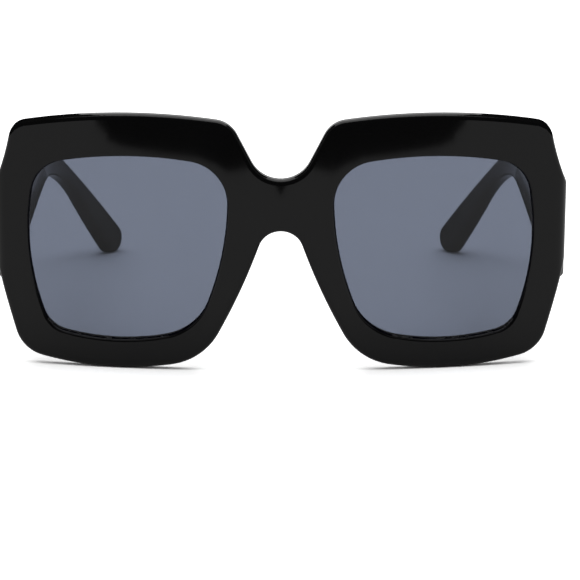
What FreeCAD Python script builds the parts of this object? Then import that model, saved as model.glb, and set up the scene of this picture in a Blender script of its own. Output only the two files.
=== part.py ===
import FreeCAD
import Part
import math
import os
import Sketcher
from FreeCAD import Placement, Rotation, Vector

# Oversized square sunglasses standing open on a table.
# X runs across the face (+X is the wearer's left), Y runs back along the temples, Z is up.
# The front leans forward at the top: its own frame is u across, w up the front and n into it.

# Driving sizes in mm and degrees.
SIZES = {
    # lens opening, by the points where its bowed sides would meet
    "bridge_gap": 27.4,
    "lens_width": 48.7,
    "lens_height": 42.8,
    "nasal_taper": 8.1,
    "temporal_taper": 2.7,
    "brow_tilt": 0.8,
    "foot_tilt": 1.3,
    "lens_top_bow": 97.0,
    "lens_side_bow": 64.0,
    "lens_foot_bow": 64.0,
    "lens_nasal_bow": 77.0,
    "lens_top_outer_round": 10.3,
    "lens_top_inner_round": 11.3,
    "lens_foot_outer_round": 7.5,
    "lens_foot_inner_round": 15.6,
    # rim around the opening
    "foot_rise": 2.86,
    "rim_below": 8.04,
    "rim_beside_foot": 7.6,
    "rim_beside_nose": 1.83,
    "brow_outer": 10.55,
    "brow_inner": 11.8,
    "brow_outside": 6.4,
    "brow_inset": 1.1,
    "brow_bow": 148.0,
    "brow_outer_round": 5.4,
    "brow_inner_round": 6.9,
    "rim_foot_bow": 90.0,
    "rim_foot_outer_round": 8.8,
    "rim_foot_inner_round": 17.0,
    "rim_side_bow": 276.0,
    # bridge: notch above it and nose arch below it
    "notch_depth": 12.6,
    "notch_round": 8.2,
    "arch_depth": 1.65,
    "arch_round": 5.8,
    "nose_side_bow": 167.0,
    # rim flaring into the end pieces
    "flare_below": 32.24,
    "flare_above": 19.85,
    "flare_bow": 68.0,
    "flare_overrun": 1.6,
    "flare_round": 1.0,
    # front section
    "front_set": 70.05,
    "front_lean": 4.0,
    "front_wrap": 255.0,
    "front_thickness": 3.6,
    "front_corner_round": 4.0,
    "front_edge_round": 1.3,
    "back_edge_round": 0.8,
    "opening_edge_round": 0.5,
    "opening_back_round": 0.5,
    # lens and its groove
    "lens_recess": 0.9,
    "lens_thickness": 1.8,
    "groove_depth": 0.9,
    "lens_seat_gap": 0.05,
    # end piece
    "end_piece_out": 11.2,
    "end_piece_reach": 4.39,
    "end_piece_length": 10.1,
    "end_piece_root": 7.0,
    "end_piece_web": 3.0,
    "end_piece_low": 22.2,
    "end_piece_height": 27.1,
    "end_piece_inner_round": 2.0,
    # nose pads moulded on the back of the front
    "pad_low": 13.5,
    "pad_height": 20,
    "pad_width": 5.4,
    "pad_inset": 0.8,
    "pad_root": 2.5,
    "pad_reach": 10.3,
    "pad_taper": 8.0,
    "pad_round": 2.2,
    "pad_edge_round": 1.4,
    # temple
    "joint_gap": 0.15,
    "temple_thickness": 4.6,
    "temple_edge_round": 1.4,
    "ear_thickness": 4.2,
    "ear_bend_reach": 96.6,
    "ear_bend_inset": 2.3,
    "ear_bend_round": 107.0,
    "ear_angle": 33.2,
    "ear_length": 43.0,
    "under_bend_reach": 91.2,
    "under_bend_rise": 11.06,
    "under_bend_round": 37.8,
    "over_bend_reach": 81.0,
    "over_bend_drop": 8.72,
    "over_bend_round": 35.0,
    "tip_under_reach": 120.9,
    "tip_under_drop": 1.48,
    "tip_length": 3.67,
    "tip_rise": 8.39,
    "tip_under_round": 3.5,
    "tip_end_round": 3.2,
    "shank_under_bow": 622.0,
    "ear_under_bow": 410.0,
    "tip_bow": 6.1,
    "ear_over_bow": 123.0,
    # barrel hinge
    "barrel_radius": 1.6,
    "barrel_pitch": 1.5,
    "barrel_gap": 0.1,
    "barrel_clearance": 0.12,
    "leaf_thickness": 1.3,
    "leaf_proud": 0.6,
    "front_leaf_length": 4.4,
    "temple_leaf_length": 8.5,
    "leaf_setback": 0.2,
    "anchor_depth": 1.7,
    "anchor_height": 4.2,
    "anchor_root": 1.6,
    "anchor_spread": 0.5,
    "screw_radius": 0.7,
    "screw_fit": 0.04,
    "screw_head_radius": 1.2,
    "screw_head_height": 0.7,
    "screw_head_round": 0.2,
    "screw_end_gap": 0.2,
    "screw_slot_width": 0.35,
    "screw_slot_depth": 0.35,
}
SHARP_ANGLE = math.radians(15)
BARREL_COUNT = 5

doc = FreeCAD.newDocument("sunglasses")
sheet = doc.addObject("Spreadsheet::Sheet", "Sizes")
for row, (alias, number) in enumerate(SIZES.items(), 1):
    sheet.set(f"A{row}", alias)
    sheet.set(f"B{row}", str(number))
    sheet.setAlias(f"B{row}", alias)
doc.recompute()

# Corners of the left lens opening.
NASAL_U = "(Sizes.bridge_gap / 2)"
TEMPORAL_U = f"({NASAL_U} + Sizes.lens_width)"
FOOT_NASAL_U = f"({NASAL_U} + Sizes.nasal_taper)"
FOOT_TEMPORAL_U = f"({TEMPORAL_U} - Sizes.temporal_taper)"
FOOT_NASAL_W = "(Sizes.foot_rise + Sizes.rim_below)"
FOOT_TEMPORAL_W = f"({FOOT_NASAL_W} - Sizes.foot_tilt)"
TOP_NASAL_W = f"({FOOT_NASAL_W} + Sizes.lens_height)"
TOP_TEMPORAL_W = f"({TOP_NASAL_W} - Sizes.brow_tilt)"
BROW_OUTER_W = f"({TOP_TEMPORAL_W} + Sizes.brow_outer)"
BROW_INNER_W = f"({TOP_NASAL_W} + Sizes.brow_inner)"
NOSE_APEX_W = f"({TOP_NASAL_W} - Sizes.arch_depth)"
RIM_FOOT_NASAL_U = f"({FOOT_NASAL_U} - Sizes.rim_beside_nose)"

# Sides of the end piece and the temple, and the plane where they butt.
FRONT_Y = "(-Sizes.front_set)"
OUTER_X = f"({TEMPORAL_U} + Sizes.end_piece_out)"
INNER_X = f"({OUTER_X} - Sizes.temple_thickness)"
BACK_WRAP = "(Sizes.front_wrap - Sizes.front_thickness)"
FRONT_END_N = f"(Sizes.front_wrap - sqrt(Sizes.front_wrap ^ 2 - {OUTER_X} ^ 2))"
BACK_END_N = f"(Sizes.front_wrap - sqrt({BACK_WRAP} ^ 2 - {OUTER_X} ^ 2))"
JOINT_Y = f"({FRONT_Y} + {BACK_END_N} + Sizes.end_piece_reach)"
TEMPLE_Y = f"({JOINT_Y} + Sizes.joint_gap)"
END_PIECE_TOP = "(Sizes.end_piece_low + Sizes.end_piece_height)"

# Hinge axis and the stack of barrels along it.
AXIS_X = f"({INNER_X} - Sizes.barrel_radius - Sizes.barrel_clearance)"
AXIS_Y = f"({JOINT_Y} + Sizes.joint_gap / 2)"
HINGE_Z = "(Sizes.end_piece_low + Sizes.end_piece_height / 2)"
HINGE_HEIGHT = f"({BARREL_COUNT} * Sizes.barrel_pitch)"
HINGE_FOOT = f"({HINGE_Z} - {HINGE_HEIGHT} / 2)"
LEAF_INNER_X = f"({INNER_X} - Sizes.leaf_proud)"
LEAF_SEAT_X = f"({LEAF_INNER_X} + Sizes.leaf_thickness)"


def value(expression):
    """Number that an expression over the sizes stands for."""
    return float(sheet.evalExpression(expression))


def new_body(name):
    """Empty body for one moulded or machined piece."""
    return doc.addObject("PartDesign::Body", name)


def new_sketch(body, plane, offsets=None, lean=False):
    """Sketch on an origin plane of a body, moved by `offsets` and leaned with the front if asked."""
    sketch = body.newObject("Sketcher::SketchObject", "sketch")
    support = next(f for f in body.Origin.OriginFeatures if f.Role == plane)
    sketch.AttachmentSupport = [(support, "")]
    sketch.MapMode = "FlatFace"
    if lean:
        lean_angle = value("Sizes.front_lean")
        sketch.AttachmentOffset = Placement(Vector(), Rotation(Vector(1, 0, 0), lean_angle))
        sketch.setExpression("AttachmentOffset.Rotation.Angle", "Sizes.front_lean * 1 deg")
    for axis, expression in (offsets or {}).items():
        sketch.setExpression(f"AttachmentOffset.Base.{axis}", expression)
    return sketch


def front_view_sketch(body, depth="0"):
    """Sketch in the plane of the leaning front, `depth` behind its foremost line."""
    rise = f"({depth}) * sin(Sizes.front_lean)"
    back = f"Sizes.front_set - ({depth}) * cos(Sizes.front_lean)"
    return new_sketch(body, "XZ_Plane", {"y": rise, "z": back}, lean=True)


class Side:
    """One side of an outline: a line, or an arc bulging out (bow > 0) or hollow (bow < 0)."""

    def __init__(self, start, end, bow):
        along = (end - start).normalize()
        self.left = Vector(-along.y, along.x, 0)
        self.start, self.along, self.bow = start, along, bow
        if bow:
            half = (end - start).Length / 2
            rise = math.copysign(math.sqrt(bow * bow - half * half), bow)
            self.centre = (start + end) / 2 + self.left * rise

    def moved_in(self, distance):
        """Curve of the centres of circles that touch this side from the inside."""
        if not self.bow:
            start = self.start + self.left * distance
            return Part.Line(start, start + self.along)
        radius = abs(self.bow) - math.copysign(distance, self.bow * distance)
        return Part.Circle(self.centre, Vector(0, 0, 1), radius)

    def foot(self, point):
        """Point of this side nearest to a point."""
        if not self.bow:
            return self.start + self.along * (point - self.start).dot(self.along)
        return self.centre + (point - self.centre).normalize() * abs(self.bow)

    def edge(self, start, end):
        """Stretch of this side between two of its points."""
        if not self.bow:
            return Part.LineSegment(start, end)
        return arc_about(self.centre, start, end, self.bow > 0)


def arc_about(centre, start, end, leftward):
    """Arc about a centre; `leftward` runs anticlockwise from start to end."""
    first, last = (start, end) if leftward else (end, start)
    angles = [math.atan2(p.y - centre.y, p.x - centre.x) for p in (first, last)]
    circle = Part.Circle(centre, Vector(0, 0, 1), (start - centre).Length)
    return Part.ArcOfCircle(circle, angles[0], angles[1])


def crossing(first, second, near):
    """Crossing of two curves that lies nearest to a point."""
    points = first.intersect(second)
    return min((Vector(p.X, p.Y, 0) for p in points), key=lambda p: (p - near).Length)


def trace_outline(sketch, corners):
    """Draw and dimension a closed outline, anticlockwise.

    Each corner is (x, y, corner radius, bow): expressions over the sizes. The bow is the radius of the
    side that runs on to the next corner; "0" makes it straight and a leading minus makes it hollow.
    """
    count = len(corners)
    numbers = [[value(e) for e in corner] for corner in corners]
    points = [Vector(n[0], n[1], 0) for n in numbers]
    sides = [Side(points[i], points[(i + 1) % count], numbers[i][3]) for i in range(count)]
    ends = []
    for i in range(count):
        before, after = sides[i - 1], sides[i]
        turn = before.along.cross(after.along).z
        radius = math.copysign(numbers[i][2], turn)
        if not radius:
            ends.append((None, points[i], points[i], turn > 0))
            continue
        centre = crossing(before.moved_in(radius), after.moved_in(radius), points[i])
        ends.append((centre, before.foot(centre), after.foot(centre), turn > 0))
    side_ids = []
    for i in range(count):
        edge = sides[i].edge(ends[i][2], ends[(i + 1) % count][1])
        side_ids.append(sketch.addGeometry(edge, False))
        if numbers[i][3]:
            bind(sketch, "Radius", (side_ids[i],), f"abs({corners[i][3]})")
    for i in range(count):
        join_corner(sketch, corners[i], ends[i], points[i], (side_ids[i - 1], side_ids[i]))


def join_corner(sketch, corner, ends, point, side_ids):
    """Join two sides of an outline, by a round of the corner's radius or at a sharp point."""
    before, after = side_ids
    centre, start, end, leftward = ends
    before_end = end_number(sketch, before, start)
    after_start = end_number(sketch, after, end)
    if centre is None:
        sketch.addConstraint(Sketcher.Constraint("Coincident", before, before_end, after, after_start))
        locate(sketch, after, after_start, corner)
        return
    round_id = sketch.addGeometry(arc_about(centre, start, end, leftward), False)
    mark = sketch.addGeometry(Part.Point(point), True)
    for side, number, at in ((before, before_end, start), (after, after_start, end)):
        round_end = end_number(sketch, round_id, at)
        sketch.addConstraint(Sketcher.Constraint("Tangent", side, number, round_id, round_end))
        sketch.addConstraint(Sketcher.Constraint("PointOnObject", mark, 1, side))
    bind(sketch, "Radius", (round_id,), corner[2])
    locate(sketch, mark, 1, corner)


def end_number(sketch, geometry, point):
    """Sketcher's number for the end of a curve that lies at a point: 1 is its start and 2 its end."""
    distances = [(sketch.getPoint(geometry, number) - point).Length for number in (1, 2)]
    return 1 + distances.index(min(distances))


def locate(sketch, geometry, number, corner):
    """Hold a point of the sketch at the corner's place."""
    bind(sketch, "DistanceX", (-1, 1, geometry, number), corner[0])
    bind(sketch, "DistanceY", (-1, 1, geometry, number), corner[1])


def bind(sketch, kind, items, expression):
    """Add a dimension that follows an expression over the sizes."""
    index = sketch.addConstraint(Sketcher.Constraint(kind, *items, value(expression)))
    sketch.setExpression(f"Constraints[{index}]", expression)


def trace_circle(sketch, x, y, radius):
    """Draw a circle from expressions for its centre and radius."""
    centre = Vector(value(x), value(y), 0)
    circle = sketch.addGeometry(Part.Circle(centre, Vector(0, 0, 1), value(radius)), False)
    locate(sketch, circle, 3, (x, y))
    bind(sketch, "Radius", (circle,), radius)


def box_corners(low_x, high_x, low_y, high_y):
    """Sharp corners of an upright rectangle."""
    return [(x, y, "0", "0") for x, y in ((low_x, low_y), (high_x, low_y), (high_x, high_y), (low_x, high_y))]


def extrude(body, kind, sketch, length, side_type="One side"):
    """Pad or pocket of a sketch by an expression for its length."""
    feature = body.newObject(f"PartDesign::{kind}", kind.lower())
    feature.Profile = sketch
    feature.SideType = side_type
    feature.setExpression("Length", length)
    doc.recompute()
    return feature


def cut_through(body, sketch):
    """Pocket of a sketch right through the body, both ways."""
    feature = body.newObject("PartDesign::Pocket", "through")
    feature.Profile = sketch
    feature.SideType = "Symmetric"
    feature.Type = "ThroughAll"
    doc.recompute()
    return feature


def normal_at(face, point):
    """Outward normal of a face at one of its points."""
    return face.normalAt(*face.Surface.parameter(point))


def round_edges(body, radius, wanted):
    """Round the sharp edges of a body whose middle point and two face normals are wanted."""
    base = body.Tip
    names = []
    for number, edge in enumerate(base.Shape.Edges, 1):
        faces = base.Shape.ancestorsOfType(edge, Part.Face)
        middle = edge.valueAt((edge.FirstParameter + edge.LastParameter) / 2)
        normals = [normal_at(face, middle) for face in faces]
        sharp = len(normals) == 2 and normals[0].getAngle(normals[1]) > SHARP_ANGLE
        if sharp and wanted(middle, normals):
            names.append(f"Edge{number}")
    fillet = body.newObject("PartDesign::Fillet", "round")
    fillet.Base = (base, names)
    fillet.setExpression("Radius", radius)
    doc.recompute()


def mirrored(source, name):
    """The same piece on the wearer's right side."""
    mirror = doc.addObject("Part::Mirroring", name)
    mirror.Source = source
    mirror.Normal = Vector(1, 0, 0)
    return mirror


def front_inward():
    """Direction from the front of the leaning front into it."""
    lean = math.radians(value("Sizes.front_lean"))
    return Vector(0, math.cos(lean), math.sin(lean))


def lens_corners():
    """Left lens opening, from its lower nasal corner."""
    return [
        (FOOT_NASAL_U, FOOT_NASAL_W, "Sizes.lens_foot_inner_round", "Sizes.lens_foot_bow"),
        (FOOT_TEMPORAL_U, FOOT_TEMPORAL_W, "Sizes.lens_foot_outer_round", "Sizes.lens_side_bow"),
        (TEMPORAL_U, TOP_TEMPORAL_W, "Sizes.lens_top_outer_round", "Sizes.lens_top_bow"),
        (NASAL_U, TOP_NASAL_W, "Sizes.lens_top_inner_round", "Sizes.lens_nasal_bow"),
    ]


def mirrored_corners(corners):
    """Outline on the other side of the middle plane, still anticlockwise."""
    bows = [corner[3] for corner in corners]
    flipped = []
    for i in reversed(range(len(corners))):
        u, w, radius, _ = corners[i]
        flipped.append((f"-{u}", w, radius, bows[i - 1]))
    return flipped


def front_corners():
    """Outline of the whole front, from the nose arch up the left side and down the right."""
    flare_u = f"({OUTER_X} + Sizes.flare_overrun)"
    flare_low_w = "(Sizes.foot_rise + Sizes.flare_below)"
    flare_high_w = f"({BROW_OUTER_W} - Sizes.flare_above)"
    foot_outer_u = f"({FOOT_TEMPORAL_U} + Sizes.rim_beside_foot)"
    brow_outer_u = f"({TEMPORAL_U} + Sizes.brow_outside)"
    brow_inner_u = f"({NASAL_U} - Sizes.brow_inset)"
    notch_w = f"({TOP_NASAL_W} - Sizes.notch_depth)"
    left = [
        (RIM_FOOT_NASAL_U, "Sizes.foot_rise", "Sizes.rim_foot_inner_round", "Sizes.rim_foot_bow"),
        (foot_outer_u, "Sizes.foot_rise", "Sizes.rim_foot_outer_round", "Sizes.rim_side_bow"),
        (flare_u, flare_low_w, "Sizes.flare_round", "0"),
        (flare_u, flare_high_w, "Sizes.flare_round", "-Sizes.flare_bow"),
        (brow_outer_u, BROW_OUTER_W, "Sizes.brow_outer_round", "Sizes.brow_bow"),
        (brow_inner_u, BROW_INNER_W, "Sizes.brow_inner_round", "0"),
    ]
    arch = ("0", NOSE_APEX_W, "Sizes.arch_round", "Sizes.nose_side_bow")
    notch = ("0", notch_w, "Sizes.notch_round", "0")
    right = mirrored_corners([arch] + left)[:-1]
    return [arch] + left + [notch] + right


def plate_corners():
    """Plan of the front: concentric curved faces, rounded where they turn into the end pieces."""
    return [
        (f"-{OUTER_X}", FRONT_END_N, "Sizes.front_corner_round", "Sizes.front_wrap"),
        (OUTER_X, FRONT_END_N, "Sizes.front_corner_round", "0"),
        (OUTER_X, BACK_END_N, "0", f"-{BACK_WRAP}"),
        (f"-{OUTER_X}", BACK_END_N, "0", "0"),
    ]


def make_front_plate():
    """Curved, leaning plate cut to the outline of the front, with two rounded lens openings."""
    body = new_body("front_plate")
    plan = new_sketch(body, "XY_Plane", {"y": FRONT_Y}, lean=True)
    trace_outline(plan, plate_corners())
    margin = "2 * Sizes.rim_below"
    pad = extrude(body, "Pad", plan, f"{BROW_INNER_W} + {margin}", "Two sides")
    pad.setExpression("Length2", margin)
    doc.recompute()
    trim = front_view_sketch(body)
    reach = f"({OUTER_X} + {margin})"
    trace_outline(trim, box_corners(f"-{reach}", reach, f"-2 * {margin}", f"{BROW_INNER_W} + 2 * {margin}"))
    trace_outline(trim, front_corners())
    cut_through(body, trim)

    inward = front_inward()
    shallow = math.cos(SHARP_ANGLE) / 2

    def at_back(normals):
        return max(normal.dot(inward) for normal in normals) > shallow

    def at_front(normals):
        return min(normal.dot(inward) for normal in normals) < -shallow

    round_edges(body, "Sizes.front_edge_round", lambda middle, normals: not at_back(normals))
    round_edges(body, "Sizes.back_edge_round", lambda middle, normals: at_back(normals))
    openings = front_view_sketch(body)
    trace_outline(openings, lens_corners())
    trace_outline(openings, mirrored_corners(lens_corners()))
    cut_through(body, openings)
    round_edges(body, "Sizes.opening_edge_round", lambda middle, normals: at_front(normals))
    round_edges(body, "Sizes.opening_back_round", lambda middle, normals: at_back(normals))
    return body


def make_end_piece():
    """Block that turns the left side of the front back to the hinge."""
    body = new_body("end_piece")
    front = f"({JOINT_Y} - Sizes.end_piece_length)"
    root_x = f"({OUTER_X} - Sizes.end_piece_root)"
    root_y = f"({front} + Sizes.end_piece_web)"
    plan = new_sketch(body, "XY_Plane", {"z": HINGE_Z})
    trace_outline(plan, [
        (root_x, front, "0", "0"),
        (OUTER_X, front, "Sizes.front_corner_round", "0"),
        (OUTER_X, JOINT_Y, "0", "0"),
        (INNER_X, JOINT_Y, "0", "0"),
        (INNER_X, root_y, "Sizes.end_piece_inner_round", "0"),
        (root_x, root_y, "0", "0"),
    ])
    extrude(body, "Pad", plan, "Sizes.end_piece_height", "Symmetric")
    inside_root = value(root_x) + value("Sizes.temple_edge_round")

    def long_edge(middle, normals):
        level = max(abs(normal.z) for normal in normals) > math.cos(SHARP_ANGLE)
        lateral = max(abs(normal.x) for normal in normals) > math.sin(SHARP_ANGLE)
        return level and lateral and middle.x > inside_root

    round_edges(body, "Sizes.temple_edge_round", long_edge)
    cut_leaf_seat(body, -1)
    return body


def make_nose_pad():
    """Left nose pad, tapering back from the nasal rim."""
    body = new_body("nose_pad")
    low = "Sizes.pad_low"
    high = "(Sizes.pad_low + Sizes.pad_height)"
    slope = f"({RIM_FOOT_NASAL_U} / ({NOSE_APEX_W} - Sizes.foot_rise))"
    low_u, high_u = (f"({slope} * ({NOSE_APEX_W} - {w}) - Sizes.pad_inset)" for w in (low, high))
    root = front_view_sketch(body, "Sizes.pad_root")
    trace_outline(root, [
        (low_u, low, "Sizes.pad_round", "0"),
        (f"{low_u} + Sizes.pad_width", low, "Sizes.pad_round", "0"),
        (f"{high_u} + Sizes.pad_width", high, "Sizes.pad_round", "0"),
        (high_u, high, "Sizes.pad_round", "0"),
    ])
    pad = extrude(body, "Pad", root, "Sizes.pad_reach - Sizes.pad_root")
    pad.Reversed = True
    pad.setExpression("TaperAngle", "-Sizes.pad_taper * 1 deg")
    doc.recompute()
    inward = front_inward()
    round_edges(body, "Sizes.pad_edge_round",
                lambda middle, normals: max(normal.dot(inward) for normal in normals) > math.cos(SHARP_ANGLE))
    return body


def make_lens_blank(name, gap):
    """Curved blank for the left lens: the opening grown by the groove's depth less a gap all round."""
    outline = doc.addObject("Sketcher::SketchObject", f"{name}_outline")
    lean_angle = value("Sizes.front_lean")
    upright = 90
    outline.Placement = Placement(Vector(), Rotation(Vector(1, 0, 0), upright + lean_angle))
    outline.setExpression("Placement.Rotation.Angle", f"({upright} + Sizes.front_lean) * 1 deg")
    outline.setExpression("Placement.Base.y", FRONT_Y)
    trace_outline(outline, lens_corners())
    grown = doc.addObject("Part::Offset2D", f"{name}_edge")
    grown.Source = outline
    grown.setExpression("Value", f"Sizes.groove_depth - {gap}")
    block = doc.addObject("Part::Extrusion", f"{name}_block")
    block.Base = grown
    block.DirMode = "Normal"
    block.Solid = True
    for way in ("LengthFwd", "LengthRev"):
        block.setExpression(way, "Sizes.lens_width")
    outer = f"(Sizes.front_wrap - Sizes.lens_recess - {gap})"
    inner = f"(Sizes.front_wrap - Sizes.lens_recess - Sizes.lens_thickness + {gap})"
    shell = doc.addObject("Part::Cut", f"{name}_shell")
    shell.Base = wrap_cylinder(f"{name}_front", outer)
    shell.Tool = wrap_cylinder(f"{name}_back", inner)
    blank = doc.addObject("Part::Common", name)
    blank.Base = shell
    blank.Tool = block
    doc.recompute()
    return blank


def wrap_cylinder(name, radius):
    """Cylinder concentric with the wrap of the front."""
    cylinder = doc.addObject("Part::Cylinder", name)
    cylinder.Placement = Placement(Vector(), Rotation(Vector(1, 0, 0), value("Sizes.front_lean")))
    cylinder.setExpression("Placement.Rotation.Angle", "Sizes.front_lean * 1 deg")
    cylinder.setExpression("Placement.Base.y", f"{FRONT_Y} + Sizes.front_wrap * cos(Sizes.front_lean)")
    cylinder.setExpression("Placement.Base.z", "Sizes.front_wrap * sin(Sizes.front_lean)")
    cylinder.setExpression("Radius", radius)
    cylinder.setExpression("Height", BROW_INNER_W)
    return cylinder


def make_front(plate, end_piece, nose_pad, groove):
    """One-piece front: plate, end pieces and nose pads moulded together and grooved for the lenses."""
    moulding = doc.addObject("Part::MultiFuse", "front_moulding")
    moulding.Shapes = [plate]
    for piece in (end_piece, nose_pad):
        moulding.Shapes = moulding.Shapes + [piece, mirrored(piece, f"{piece.Name}_mirror")]
    grooves = doc.addObject("Part::MultiFuse", "lens_grooves")
    grooves.Shapes = [groove, mirrored(groove, f"{groove.Name}_mirror")]
    front = doc.addObject("Part::Cut", "front_frame")
    front.Base = moulding
    front.Tool = grooves
    doc.recompute()
    return front


def temple_side_corners():
    """Side view of the temple, y back and z up, from the lower corner at the joint."""
    under_y = f"({JOINT_Y} + Sizes.under_bend_reach)"
    under_z = "(Sizes.end_piece_low + Sizes.under_bend_rise)"
    over_y = f"({JOINT_Y} + Sizes.over_bend_reach)"
    over_z = f"({END_PIECE_TOP} - Sizes.over_bend_drop)"
    tip_y = f"({JOINT_Y} + Sizes.tip_under_reach)"
    tip_z = "(-Sizes.tip_under_drop)"
    end_y = f"({tip_y} + Sizes.tip_length)"
    end_z = f"({tip_z} + Sizes.tip_rise)"
    return [
        (TEMPLE_Y, "Sizes.end_piece_low", "0", "-Sizes.shank_under_bow"),
        (under_y, under_z, "Sizes.under_bend_round", "-Sizes.ear_under_bow"),
        (tip_y, tip_z, "Sizes.tip_under_round", "Sizes.tip_bow"),
        (end_y, end_z, "Sizes.tip_end_round", "Sizes.ear_over_bow"),
        (over_y, over_z, "Sizes.over_bend_round", "0"),
        (TEMPLE_Y, END_PIECE_TOP, "0", "0"),
    ]


def temple_plan_corners():
    """Plan of the left temple: straight from the joint, then bent in behind the ear."""
    bend_x = f"({INNER_X} - Sizes.ear_bend_inset)"
    bend_y = f"({JOINT_Y} + Sizes.ear_bend_reach)"
    end_x = f"({bend_x} - Sizes.ear_length * sin(Sizes.ear_angle))"
    end_y = f"({bend_y} + Sizes.ear_length * cos(Sizes.ear_angle))"
    outer_bend_y = f"({bend_y} + Sizes.ear_thickness * tan(Sizes.ear_angle / 2))"
    outer_end_x = f"({end_x} + Sizes.ear_thickness * cos(Sizes.ear_angle))"
    outer_end_y = f"({end_y} + Sizes.ear_thickness * sin(Sizes.ear_angle))"
    outer_round = "Sizes.ear_bend_round + Sizes.ear_thickness"
    return [
        (INNER_X, TEMPLE_Y, "0", "0"),
        (OUTER_X, TEMPLE_Y, "0", "0"),
        (f"({bend_x} + Sizes.ear_thickness)", outer_bend_y, outer_round, "0"),
        (outer_end_x, outer_end_y, "0", "0"),
        (end_x, end_y, "0", "0"),
        (bend_x, bend_y, "Sizes.ear_bend_round", "0"),
    ]


def make_temple():
    """Left temple: wide at the joint, slimming to the ear bend and ending in a rounded paddle."""
    body = new_body("temple_left")
    side = new_sketch(body, "YZ_Plane")
    trace_outline(side, temple_side_corners())
    extrude(body, "Pad", side, f"{OUTER_X} + Sizes.temple_thickness")
    plan = new_sketch(body, "XY_Plane")
    reach = "(Sizes.front_set + Sizes.ear_bend_reach)"
    trace_outline(plan, box_corners(f"-{reach}", reach, f"-{reach}", reach))
    trace_outline(plan, temple_plan_corners())
    cut_through(body, plan)
    butt = value(TEMPLE_Y) + value("Sizes.joint_gap")
    round_edges(body, "Sizes.temple_edge_round", lambda middle, normals: middle.y > butt)
    cut_leaf_seat(body, 1)
    return body


def leaf_length(way):
    """Length of the hinge leaf on the front (way -1) or on the temple (way 1)."""
    return "Sizes.front_leaf_length" if way < 0 else "Sizes.temple_leaf_length"


def butt_y(way):
    """Butt face of the end piece (way -1) or of the temple (way 1)."""
    return JOINT_Y if way < 0 else TEMPLE_Y


def span(first, second, way):
    """The two y expressions in rising order."""
    return (second, first) if way < 0 else (first, second)


def leaf_anchor_corners(way):
    """Plan of the dovetail that holds a leaf in the plastic."""
    middle = f"({butt_y(way)} + {way} * {leaf_length(way)} * 2 / 3)"
    tip_x = f"({LEAF_SEAT_X} + Sizes.anchor_depth)"
    root = "Sizes.anchor_root / 2"
    tip = f"({root} + Sizes.anchor_spread)"
    return [
        (LEAF_SEAT_X, f"{middle} - {root}", "0", "0"),
        (tip_x, f"{middle} - {tip}", "0", "0"),
        (tip_x, f"{middle} + {tip}", "0", "0"),
        (LEAF_SEAT_X, f"{middle} + {root}", "0", "0"),
    ]


def cut_leaf_seat(body, way):
    """Recess for a hinge leaf in the inner face, open to the butt, with its dovetail slot."""
    far = f"({butt_y(way)} + {way} * {leaf_length(way)})"
    near = f"({butt_y(way)} - {way} * Sizes.joint_gap)"
    low, high = span(near, far, way)
    seat = new_sketch(body, "XY_Plane", {"z": HINGE_Z})
    trace_outline(seat, box_corners(AXIS_X, LEAF_SEAT_X, low, high))
    extrude(body, "Pocket", seat, HINGE_HEIGHT, "Symmetric")
    slot = new_sketch(body, "XY_Plane", {"z": HINGE_Z})
    trace_outline(slot, leaf_anchor_corners(way))
    extrude(body, "Pocket", slot, "Sizes.anchor_height", "Symmetric")


def make_hinge_leaf(name, way, slots):
    """Hinge leaf with its barrels; `slots` are the places in the stack left to the other leaf."""
    body = new_body(name)
    near = f"({butt_y(way)} + {way} * Sizes.leaf_setback)"
    far = f"({butt_y(way)} + {way} * {leaf_length(way)})"
    bend = f"({AXIS_Y} + {way} * Sizes.barrel_radius)"
    outline = [
        (AXIS_X, near),
        (LEAF_SEAT_X, near),
        (LEAF_SEAT_X, far),
        (LEAF_INNER_X, far),
        (LEAF_INNER_X, bend),
        (AXIS_X, bend),
    ]
    leaf = new_sketch(body, "XY_Plane", {"z": HINGE_Z})
    trace_outline(leaf, [(x, y, "0", "0") for x, y in (outline if way > 0 else reversed(outline))])
    extrude(body, "Pad", leaf, HINGE_HEIGHT, "Symmetric")
    barrel = new_sketch(body, "XY_Plane", {"z": HINGE_Z})
    trace_circle(barrel, AXIS_X, AXIS_Y, "Sizes.barrel_radius")
    extrude(body, "Pad", barrel, HINGE_HEIGHT, "Symmetric")
    for slot in slots:
        gap = new_sketch(body, "XY_Plane", {"z": f"{HINGE_FOOT} + ({slot} + 1 / 2) * Sizes.barrel_pitch"})
        trace_circle(gap, AXIS_X, AXIS_Y, "Sizes.barrel_radius + Sizes.barrel_clearance")
        extrude(body, "Pocket", gap, "Sizes.barrel_pitch + Sizes.barrel_gap", "Symmetric")
    bore = new_sketch(body, "XY_Plane", {"z": HINGE_Z})
    trace_circle(bore, AXIS_X, AXIS_Y, "Sizes.screw_radius + Sizes.screw_fit")
    cut_through(body, bore)
    anchor = new_sketch(body, "XY_Plane", {"z": HINGE_Z})
    trace_outline(anchor, leaf_anchor_corners(way))
    extrude(body, "Pad", anchor, "Sizes.anchor_height", "Symmetric")
    return body


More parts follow.
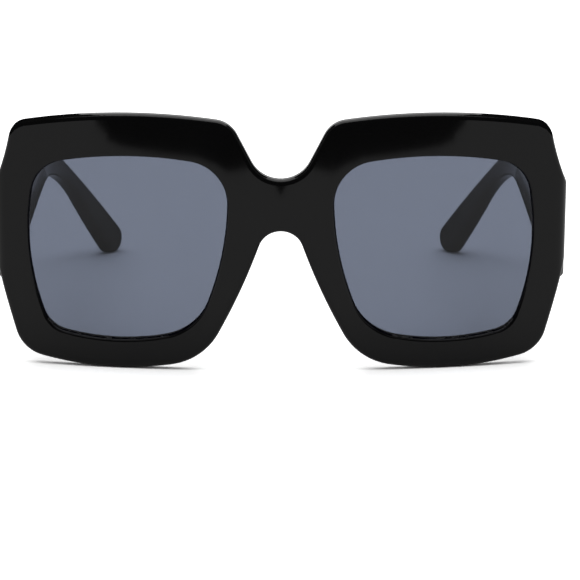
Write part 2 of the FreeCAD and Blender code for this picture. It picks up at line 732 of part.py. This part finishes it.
def make_screw():
    """Left hinge screw: plain shank through the barrels under a slotted head."""
    body = new_body("hinge_screw_left")
    top = f"({HINGE_FOOT} + {HINGE_HEIGHT})"
    shank = new_sketch(body, "XY_Plane", {"z": f"{HINGE_FOOT} + Sizes.screw_end_gap"})
    trace_circle(shank, AXIS_X, AXIS_Y, "Sizes.screw_radius")
    extrude(body, "Pad", shank, f"{HINGE_HEIGHT} - Sizes.screw_end_gap")
    head = new_sketch(body, "XY_Plane", {"z": top})
    trace_circle(head, AXIS_X, AXIS_Y, "Sizes.screw_head_radius")
    extrude(body, "Pad", head, "Sizes.screw_head_height")
    head_top = value(f"{top} + Sizes.screw_head_height")
    near_top = value("Sizes.screw_head_round") / 2
    round_edges(body, "Sizes.screw_head_round", lambda middle, normals: middle.z > head_top - near_top)
    slot = new_sketch(body, "XY_Plane", {"z": f"{top} + Sizes.screw_head_height"})
    half = "Sizes.screw_slot_width / 2"
    reach = "2 * Sizes.screw_head_radius"
    trace_outline(slot, box_corners(
        f"{AXIS_X} - {reach}", f"{AXIS_X} + {reach}", f"{AXIS_Y} - {half}", f"{AXIS_Y} + {half}"))
    extrude(body, "Pocket", slot, "Sizes.screw_slot_depth")
    return body


def check_document():
    """Stop when a feature failed."""
    for item in doc.Objects:
        if "Invalid" in item.State or "Error" in item.State:
            raise RuntimeError(f"{item.Label}: {item.State}")


def write(piece, label):
    """Name a sub-part and write it."""
    piece.Label = label
    shape = piece.Shape
    if shape.isNull() or not shape.isValid() or len(shape.Solids) != 1:
        raise RuntimeError(f"{label} is not one valid solid")
    shape.exportStep(f"parts/{label}.step")


def main():
    """Build the sub-parts and write one file for each."""
    front = make_front(make_front_plate(), make_end_piece(), make_nose_pad(),
                       make_lens_blank("lens_groove", "-Sizes.lens_seat_gap"))
    pairs = {
        "lens": make_lens_blank("lens_left", "Sizes.lens_seat_gap"),
        "temple": make_temple(),
        "front_hinge": make_hinge_leaf("front_hinge_left", -1, (1, 3)),
        "temple_hinge": make_hinge_leaf("temple_hinge_left", 1, (0, 2, 4)),
        "hinge_screw": make_screw(),
    }
    rights = {name: mirrored(piece, f"{name}_right") for name, piece in pairs.items()}
    doc.recompute()
    check_document()
    os.makedirs("parts", exist_ok=True)
    write(front, "front_frame")
    for name, piece in pairs.items():
        write(piece, f"{name}_left")
        write(rights[name], f"{name}_right")


main()
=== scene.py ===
import logging
import math
from dataclasses import dataclass, field
from enum import Enum
from typing import Any

import bmesh
import bpy
from mathutils import Matrix, Vector


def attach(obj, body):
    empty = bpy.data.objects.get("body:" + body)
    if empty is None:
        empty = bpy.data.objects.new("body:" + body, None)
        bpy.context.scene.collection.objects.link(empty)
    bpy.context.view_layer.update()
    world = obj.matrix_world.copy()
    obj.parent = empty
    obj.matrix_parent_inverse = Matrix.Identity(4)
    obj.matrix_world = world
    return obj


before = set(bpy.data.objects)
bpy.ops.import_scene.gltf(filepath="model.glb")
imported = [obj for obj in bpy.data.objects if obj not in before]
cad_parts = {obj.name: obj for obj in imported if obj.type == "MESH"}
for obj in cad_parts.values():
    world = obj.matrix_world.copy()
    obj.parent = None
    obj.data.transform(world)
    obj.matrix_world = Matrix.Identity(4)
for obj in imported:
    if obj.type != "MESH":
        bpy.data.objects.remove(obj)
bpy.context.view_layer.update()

LOG = logging.getLogger("sunglasses")
MM = 0.001

Colour = tuple[float, float, float]
Point = tuple[float, float]
Faces = list[bmesh.types.BMFace]

BLACK = (0.0, 0.0, 0.0, 1.0)
WHITE = (1.0, 1.0, 1.0, 1.0)

# Sockets of a Mix node that blends two colours; their names are shared, so they go by number.
MIX_SHARE = 0
MIX_LOW = 6
MIX_HIGH = 7
MIX_RESULT = 2


class Wire:
    """One output of a node, so that shader maths can be written as an expression."""

    def __init__(self, graph: "Graph", socket: bpy.types.NodeSocket) -> None:
        """Holds a socket of a graph.

        Args:
            graph: the graph that the socket is in.
            socket: the output socket.
        """
        self.graph = graph
        self.socket = socket

    def maths(self, operation: str, left: Any, right: Any) -> "Wire":
        """Adds a Math node.

        Args:
            operation: the Math node's operation.
            left: its first value or wire.
            right: its second value or wire.

        Returns:
            The result's wire.
        """
        return self.graph.node("ShaderNodeMath", {"operation": operation}, {0: left, 1: right})

    def __add__(self, other: Any) -> "Wire":
        """This plus other."""
        return self.maths("ADD", self, other)

    __radd__ = __add__

    def __sub__(self, other: Any) -> "Wire":
        """This minus other."""
        return self.maths("SUBTRACT", self, other)

    def __rsub__(self, other: Any) -> "Wire":
        """Other minus this."""
        return self.maths("SUBTRACT", other, self)

    def __mul__(self, other: Any) -> "Wire":
        """This times other."""
        return self.maths("MULTIPLY", self, other)

    __rmul__ = __mul__

    def __pow__(self, other: Any) -> "Wire":
        """This to a power."""
        return self.maths("POWER", self, other)

    def or_else(self, other: Any) -> "Wire":
        """The larger of this and other."""
        return self.maths("MAXIMUM", self, other)

    def output(self, name: str | int) -> "Wire":
        """Another output of the same node."""
        return Wire(self.graph, self.socket.node.outputs[name])


@dataclass(frozen=True)
class Grain:
    """An uneven pattern in a finish.

    Attributes:
        scale: waves per metre.
        detail: octaves of finer waves.
        stretch: scale along each axis.
    """

    scale: float
    detail: float = 2.0
    stretch: tuple[float, float, float] = (1.0, 1.0, 1.0)


class Graph:
    """Node tree of one material or of the world."""

    def __init__(self, owner: Any) -> None:
        """Empties the node tree of a material or world.

        Args:
            owner: the material or world.
        """
        owner.use_nodes = True
        self.tree = owner.node_tree
        self.tree.nodes.clear()

    def node(self, kind: str, settings: dict | None = None, inputs: dict | None = None) -> Wire:
        """Adds any node.

        Args:
            kind: the node's type.
            settings: its properties, which are set first.
            inputs: values or wires by the name or number of the socket.

        Returns:
            The wire of its first output.
        """
        node = self.tree.nodes.new(kind)
        for name, setting in (settings or {}).items():
            setattr(node, name, setting)
        for name, value in (inputs or {}).items():
            if isinstance(value, Wire):
                self.tree.links.new(value.socket, node.inputs[name])
            else:
                node.inputs[name].default_value = value
        return Wire(self, node.outputs[0] if node.outputs else None)

    def noise(self, grain: Grain) -> Wire:
        """Noise over the object's own coordinates.

        Args:
            grain: the pattern.

        Returns:
            The noise's wire, from 0 to 1.
        """
        place = self.node("ShaderNodeTexCoord").output("Object")
        stretched = self.node("ShaderNodeMapping", {}, {"Vector": place, "Scale": grain.stretch})
        inputs = {"Vector": stretched, "Scale": grain.scale, "Detail": grain.detail}
        return self.node("ShaderNodeTexNoise", {"noise_dimensions": "3D"}, inputs)

    def between(self, share: Wire, low: Colour, high: Colour) -> Wire:
        """Blends two colours.

        Args:
            share: how much of the second colour shows.
            low: the first colour.
            high: the second colour.

        Returns:
            The colour's wire.
        """
        inputs = {MIX_SHARE: share, MIX_LOW: (*low, 1), MIX_HIGH: (*high, 1)}
        return self.node("ShaderNodeMix", {"data_type": "RGBA"}, inputs).output(MIX_RESULT)

    def bump(self, height: Wire, strength: float, depth: float) -> Wire:
        """Turns a height into a normal.

        Args:
            height: the height's wire, from 0 to 1.
            strength: share of the bump that shows.
            depth: size of the bump in metres.

        Returns:
            The normal's wire.
        """
        return self.node("ShaderNodeBump", {}, {"Height": height, "Strength": strength, "Distance": depth})


@dataclass(frozen=True)
class Finish:
    """What every finish has: a name, and a surface made of nodes."""

    name: str

    def surface(self, graph: Graph) -> Wire:
        """The shader, which each finish makes for itself."""
        raise NotImplementedError

    def material(self) -> bpy.types.Material:
        """Makes the finish's material.

        Returns:
            The material.
        """
        material = bpy.data.materials.new(self.name)
        graph = Graph(material)
        graph.node("ShaderNodeOutputMaterial", {}, {"Surface": self.surface(graph)})
        return material


@dataclass(frozen=True)
class PolishedPlastic(Finish):
    """Tumbled black plastic: deep gloss, a faint ripple from the mould and thin smears."""

    deep: Colour = (0.0026, 0.0026, 0.0027)
    cloudy: Colour = (0.0038, 0.0038, 0.0040)
    clouds: Grain = Grain(55.0, 3.0)
    gloss: float = 0.055
    smear: float = 0.07
    smears: Grain = Grain(160.0, 5.0, (1.0, 1.6, 0.5))
    smear_contrast: float = 3.0
    shine: float = 0.18
    ripples: Grain = Grain(38.0, 1.0)
    ripple_depth: float = 0.10 * MM
    ripple_strength: float = 0.10

    def surface(self, graph: Graph) -> Wire:
        """Builds the plastic's shader.

        Args:
            graph: the material's graph.

        Returns:
            The shader's wire.
        """
        inputs = {
            "Base Color": graph.between(graph.noise(self.clouds), self.deep, self.cloudy),
            "Roughness": self.gloss + self.smear * graph.noise(self.smears) ** self.smear_contrast,
            "Specular IOR Level": self.shine,
            "Normal": graph.bump(graph.noise(self.ripples), self.ripple_strength, self.ripple_depth),
        }
        return graph.node("ShaderNodeBsdfPrincipled", {}, inputs)


@dataclass(frozen=True)
class TintedLens(Finish):
    """Grey-blue tinted plastic: it dims what lies behind it and mirrors a little at its faces."""

    tint: Colour = (0.300, 0.321, 0.371)
    mirror: float = 0.0235
    slant_blend: float = 0.5
    slant_power: float = 5.0
    gloss: float = 0.03
    smear: float = 0.35
    smears: Grain = Grain(90.0, 4.0, (1.0, 1.0, 0.6))
    smear_contrast: float = 2.0

    def surface(self, graph: Graph) -> Wire:
        """Builds the lens's shader, each face of which lets through the tint.

        Args:
            graph: the material's graph.

        Returns:
            The shader's wire.
        """
        clear = graph.node("ShaderNodeBsdfTransparent", {}, {"Color": (*self.tint, 1)})
        mirror = graph.node("ShaderNodeBsdfGlossy", {}, {"Roughness": self.gloss})
        slant = graph.node("ShaderNodeLayerWeight", {}, {"Blend": self.slant_blend}).output("Facing")
        glint = self.mirror + (1 - self.mirror) * slant ** self.slant_power
        wiped = 1 - self.smear * graph.noise(self.smears) ** self.smear_contrast
        return graph.node("ShaderNodeMixShader", {}, {0: glint * wiped, 1: clear, 2: mirror})


@dataclass(frozen=True)
class WorkedMetal(Finish):
    """Metal with the fine lines that its working leaves."""

    shade: Colour = (0.60, 0.58, 0.54)
    bright: Colour = (0.72, 0.70, 0.66)
    patches: Grain = Grain(700.0, 3.0)
    gloss: float = 0.22
    dullness: float = 0.22
    lines: Grain = Grain(500.0, 2.0, (1.0, 1.0, 14.0))
    line_strength: float = 0.25
    line_depth: float = 0.02 * MM

    def surface(self, graph: Graph) -> Wire:
        """Builds the metal's shader.

        Args:
            graph: the material's graph.

        Returns:
            The shader's wire.
        """
        lines = graph.noise(self.lines)
        inputs = {
            "Base Color": graph.between(graph.noise(self.patches), self.shade, self.bright),
            "Metallic": 1.0,
            "Roughness": self.gloss + self.dullness * lines,
            "Normal": graph.bump(lines, self.line_strength, self.line_depth),
        }
        return graph.node("ShaderNodeBsdfPrincipled", {}, inputs)


@dataclass(frozen=True)
class GroundEdge(Finish):
    """Ground edge of a tinted lens: dark, with a glint that the grinding breaks up."""

    deep: Colour = (0.0008, 0.0008, 0.0030)
    pale: Colour = (0.0020, 0.0020, 0.0050)
    shine: float = 0.85
    gloss: float = 0.04
    grind: float = 9.0
    facets: Grain = Grain(420.0)
    facet_contrast: float = 6.0

    def surface(self, graph: Graph) -> Wire:
        """Builds the edge's shader.

        Args:
            graph: the material's graph.

        Returns:
            The shader's wire.
        """
        facets = graph.noise(self.facets)
        inputs = {
            "Base Color": graph.between(facets, self.deep, self.pale),
            "Roughness": self.gloss + self.grind * facets ** self.facet_contrast,
            "Specular IOR Level": self.shine,
        }
        return graph.node("ShaderNodeBsdfPrincipled", {}, inputs)


class Side(Enum):
    """The wearer's sides, by the end of the piece names."""

    LEFT = "left"
    RIGHT = "right"

    @property
    def way(self) -> int:
        """One for the wearer's left, which lies towards +X, and minus one for the right."""
        return 1 if self is Side.LEFT else -1


def dress(node: str, material: bpy.types.Material) -> None:
    """Gives a solid its finish.

    Args:
        node: name of the solid.
        material: the finish's material.
    """
    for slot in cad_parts[node].material_slots:
        slot.material = material
    LOG.info("dressed %s in %s", node, material.name)


@dataclass
class Front:
    """The moulded front with its two lenses."""

    plastic: PolishedPlastic = PolishedPlastic("front_plastic")
    tint: TintedLens = TintedLens("lens_tint")

    def build(self) -> None:
        """Dresses the front and the lenses in it."""
        dress("front_frame", self.plastic.material())
        lens = self.tint.material()
        for side in Side:
            dress(f"lens_{side.value}", lens)


@dataclass
class LensEdge:
    """The ground edge that shows where a lens goes into its groove.

    Attributes:
        side: the lens's side.
        facet: finish of the facets that catch the light, the lit copy of the finish.
        shade: a dull copy of the finish with almost no gloss, as painted shade on the flat facet and on the
            steep facets turned from the light.
        weld: distance under which points of the lens are one.
        facing: how squarely a face of the lens points forward to belong to its front.
        seat: how far inside the outline of the lens's front the edge begins.
        lift: how far the edge is raised above the lens's own outline.
        steep_width: width of the steep facet.
        steep_fall: depth of the steep facet.
        flat_width: width of the flat facet inside it.
        flat_fall: depth of the flat facet.
        wall: thickness of the edge.
        light_lean: how far the light leans towards the nose, for each unit that it rises.
        lit_from: how squarely a steep facet must point at the light to keep its gloss; the others take the
            painted shade.
    """

    side: Side
    facet: GroundEdge = GroundEdge("edge_facet")
    # Painted shade: this gloss-less copy of the finish makes the faces it is given read dark.
    shade: GroundEdge = GroundEdge("edge_painted_shade", shine=0.04)
    weld: float = 0.001 * MM
    facing: float = 0.5
    seat: float = 0.70 * MM
    lift: float = 0.10 * MM
    steep_width: float = 0.36 * MM
    steep_fall: float = 0.45 * MM
    flat_width: float = 0.05 * MM
    flat_fall: float = 0.01 * MM
    wall: float = 0.06 * MM
    light_lean: float = 0.4
    lit_from: float = 0.6

    def build(self) -> None:
        """Makes the edge, dresses it and lets it ride with the front."""
        name = f"lens_edge_{self.side.value}"
        shape = self.lens_face()
        self.grind(shape)
        mesh = bpy.data.meshes.new(name)
        shape.to_mesh(mesh)
        shape.free()
        for finish in (self.facet, self.shade):
            mesh.materials.append(finish.material())
        edge = bpy.data.objects.new(name, mesh)
        bpy.context.scene.collection.objects.link(edge)
        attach(edge, "front")
        LOG.info("made %s with %d faces", name, len(mesh.polygons))

    def lens_face(self) -> bmesh.types.BMesh:
        """Copies the front of the lens, as far out as the edge begins.

        Returns:
            The copy.
        """
        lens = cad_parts[f"lens_{self.side.value}"]
        shape = bmesh.new()
        shape.from_mesh(lens.data)
        bmesh.ops.transform(shape, matrix=lens.matrix_world, verts=shape.verts)
        bmesh.ops.remove_doubles(shape, verts=shape.verts, dist=self.weld)
        shape.normal_update()
        behind = [face for face in shape.faces if face.normal.y > -self.facing]
        bmesh.ops.delete(shape, geom=behind, context="FACES")
        hidden = self.inset(shape, shape.faces[:], self.seat, 0)
        bmesh.ops.delete(shape, geom=hidden, context="FACES")
        return shape

    def grind(self, shape: bmesh.types.BMesh) -> None:
        """Turns the front of the lens into a closed edge of two facets.

        Args:
            shape: the front of the lens.
        """
        rise = Vector((0, -self.steep_fall - self.flat_fall, self.lift))
        bmesh.ops.translate(shape, vec=rise, verts=shape.verts)
        middle = shape.faces[:]
        steep = self.inset(shape, middle, self.steep_width, self.steep_fall)
        flat = self.inset(shape, middle, self.flat_width, self.flat_fall)
        bmesh.ops.delete(shape, geom=middle, context="FACES")
        shape.normal_update()
        # Painted shade: the flat facet, and the steep facets that turn away from the light, take the dull
        # copy of the finish.
        light = Vector((-self.side.way * self.light_lean, 0, 1))
        painted_shade_faces = [face for face in steep if face.normal.dot(light) < self.lit_from]
        for face in flat + painted_shade_faces:
            face.material_index = 1
        bmesh.ops.solidify(shape, geom=shape.faces[:], thickness=self.wall)

    def inset(self, shape: bmesh.types.BMesh, faces: Faces, width: float, fall: float) -> Faces:
        """Draws the outline of some faces in.

        Args:
            shape: the mesh.
            faces: the faces, which stay inside.
            width: how far the outline is drawn in.
            fall: how far the faces sink.

        Returns:
            The new faces round them.
        """
        settings = {"use_boundary": True, "use_even_offset": True}
        return bmesh.ops.inset_region(shape, faces=faces, thickness=width, depth=-fall, **settings)["faces"]


@dataclass
class Temple:
    """One temple."""

    side: Side
    plastic: PolishedPlastic = PolishedPlastic("temple_plastic")

    def build(self) -> None:
        """Dresses the temple."""
        dress(f"temple_{self.side.value}", self.plastic.material())


@dataclass
class Hinge:
    """One five-barrel hinge: two leaves and the screw through them."""

    side: Side
    nickel: WorkedMetal = WorkedMetal("nickel_silver")
    steel: WorkedMetal = WorkedMetal(
        "screw_steel", shade=(0.50, 0.51, 0.52), bright=(0.62, 0.63, 0.64), gloss=0.16, dullness=0.16
    )

    def build(self) -> None:
        """Dresses the leaves and the screw."""
        leaf = self.nickel.material()
        dress(f"front_hinge_{self.side.value}", leaf)
        dress(f"temple_hinge_{self.side.value}", leaf)
        dress(f"hinge_screw_{self.side.value}", self.steel.material())


@dataclass
class Studio:
    """Pale floor, soft light from above, black flags for the gloss to show, and the camera.

    Attributes:
        floor_side: length of the floor's sides.
        floor_colour: how pale the floor is.
        floor_lift: how much paler the camera sees it.
        ambient: strength of the light from all round.
        lamp_share: strength of the light from overhead.
        lamp_spread: how broad the lamp is, as an angle.
        card_edge: x and y, in millimetres, round the half towards +X of the flag on the floor.
        card_height: height of that flag over the floor.
        front_distance: how far in front the upright flag stands.
        front_reach: half its width.
        front_height: its height.
        side_distance: how far from the middle the flags beside the sunglasses stand.
        side_span: y of their ends.
        side_heights: heights of their lower and upper edges.
        target: the point that the camera looks at.
        distance: the camera's distance from it.
        elevation: the camera's angle above the horizon.
        focal_length: the camera's focal length in millimetres.
        shift: the camera's shift.
    """

    floor_side: float = 12.0
    floor_colour: float = 0.97
    floor_lift: float = 0.75
    ambient: float = 0.3
    lamp_share: float = 0.7
    lamp_spread: float = math.radians(75)
    card_edge: tuple[Point, ...] = (
        (0, -205), (8, -228), (14, -239), (22, -230), (29, -226), (34, -226), (42, -232), (54, -237),
        (108, -237), (122, -241), (120, -244), (136, -256), (490, -1000)
    )
    card_height: float = 0.5 * MM
    front_distance: float = 700 * MM
    front_reach: float = 3000 * MM
    front_height: float = 3000 * MM
    side_distance: float = 85 * MM
    side_span: Point = (-78 * MM, 200 * MM)
    side_heights: Point = (60 * MM, 200 * MM)
    target: Vector = field(default_factory=lambda: Vector((0, -50.05, 33)) * MM)
    distance: float = 700 * MM
    elevation: float = math.radians(12.205)
    focal_length: float = 165.70
    shift: Point = (0.01598, -0.1037)

    def build(self) -> None:
        """Sets up the floor, the flags, the light and the camera."""
        self.lay_floor()
        self.put_flags()
        self.light()
        self.place_camera()
        LOG.info("studio ready")

    def sheet(self, name: str, corners: list[Vector]) -> bpy.types.Object:
        """Makes a flat sheet of the stage.

        Args:
            name: its name.
            corners: its corners in order.

        Returns:
            The object.
        """
        mesh = bpy.data.meshes.new(name)
        shape = bmesh.new()
        verts = [bmesh.ops.create_vert(shape, co=corner)["vert"][0] for corner in corners]
        bmesh.ops.contextual_create(shape, geom=verts)
        shape.to_mesh(mesh)
        shape.free()
        sheet = bpy.data.objects.new(name, mesh)
        bpy.context.scene.collection.objects.link(sheet)
        return sheet

    def lay_floor(self) -> None:
        """Lays the floor, which stays white to the eye and still takes the shadow."""
        half = self.floor_side / 2
        corners = ((-half, -half), (half, -half), (half, half), (-half, half))
        floor = self.sheet("floor", [Vector((x, y, 0)) for x, y in corners])
        material = bpy.data.materials.new("pale_floor")
        graph = Graph(material)
        looked_at = graph.node("ShaderNodeLightPath").output("Is Camera Ray")
        colour = self.floor_colour + self.floor_lift * looked_at
        paper = graph.node("ShaderNodeBsdfDiffuse", {}, {"Color": colour})
        graph.node("ShaderNodeOutputMaterial", {}, {"Surface": paper})
        floor.data.materials.append(material)

    def put_flags(self) -> None:
        """Lays a flag in front, stands one across it and one beside each upper corner."""
        half = [Vector((x * MM, y * MM, self.card_height)) for x, y in self.card_edge]
        mirrored = [Vector((-corner.x, corner.y, corner.z)) for corner in reversed(half[1:])]
        self.put_flag("table_flag", half + mirrored)
        reach, front = self.front_reach, -self.front_distance
        self.stand_flag("front_flag", (-reach, front), (reach, front), (0, self.front_height))
        for side in Side:
            start, end = ((side.way * self.side_distance, y) for y in self.side_span)
            self.stand_flag(f"{side.value}_flag", start, end, self.side_heights)

    def put_flag(self, name: str, corners: list[Vector]) -> None:
        """Puts up a black flag that only the gloss of the object shows.

        Args:
            name: its name.
            corners: its corners in order.
        """
        flag = self.sheet(name, corners)
        material = bpy.data.materials.new(name)
        graph = Graph(material)
        black = graph.node("ShaderNodeBsdfDiffuse", {}, {"Color": BLACK})
        graph.node("ShaderNodeOutputMaterial", {}, {"Surface": black})
        flag.data.materials.append(material)
        flag.visible_camera = False
        flag.visible_diffuse = False
        flag.visible_transmission = False
        flag.visible_shadow = False

    def stand_flag(self, name: str, start: Point, end: Point, heights: Point) -> None:
        """Stands a flag upright.

        Args:
            name: its name.
            start: x and y of one side.
            end: x and y of the other side.
            heights: heights of its lower and upper edges.
        """
        low, high = heights
        corners = ((*start, low), (*end, low), (*end, high), (*start, high))
        self.put_flag(name, [Vector(corner) for corner in corners])

    def light(self) -> None:
        """Sets the even surroundings and one broad lamp overhead."""
        world = bpy.data.worlds.new("surroundings")
        bpy.context.scene.world = world
        graph = Graph(world)
        strength = self.ambient + (1 - self.ambient) * self.seen(graph)
        glow = graph.node("ShaderNodeBackground", {}, {"Color": WHITE, "Strength": strength})
        graph.node("ShaderNodeOutputWorld", {}, {"Surface": glow})
        lamp = bpy.data.lights.new("overhead", "SUN")
        lamp.energy = self.lamp_share * math.pi
        lamp.angle = self.lamp_spread
        holder = bpy.data.objects.new("overhead", lamp)
        bpy.context.scene.collection.objects.link(holder)

    def seen(self, graph: Graph) -> Wire:
        """One for a ray from the camera, a mirror or glass, and nought for the light on the object.

        Args:
            graph: the graph to add it to.

        Returns:
            The wire.
        """
        path = graph.node("ShaderNodeLightPath")
        glossy = path.output("Is Glossy Ray").or_else(path.output("Is Transmission Ray"))
        return path.output("Is Camera Ray").or_else(glossy)

    def place_camera(self) -> None:
        """Puts the camera where the photograph was taken from."""
        camera = bpy.data.cameras.new("camera")
        camera.lens = self.focal_length
        camera.shift_x, camera.shift_y = self.shift
        eye = bpy.data.objects.new("camera", camera)
        back = Vector((0, -math.cos(self.elevation), math.sin(self.elevation)))
        turn = Matrix.Rotation(math.pi / 2 - self.elevation, 4, "X")
        eye.matrix_world = Matrix.Translation(self.target + self.distance * back) @ turn
        bpy.context.scene.collection.objects.link(eye)
        bpy.context.scene.camera = eye
        bpy.context.scene.view_settings.view_transform = "Standard"


def main() -> None:
    """Dresses the sunglasses, piece by piece, and sets the studio round them."""
    logging.basicConfig(level=logging.INFO, format="%(message)s")
    Front().build()
    for side in Side:
        LensEdge(side).build()
        Temple(side).build()
        Hinge(side).build()
    Studio().build()


if __name__ == "__main__":
    main()
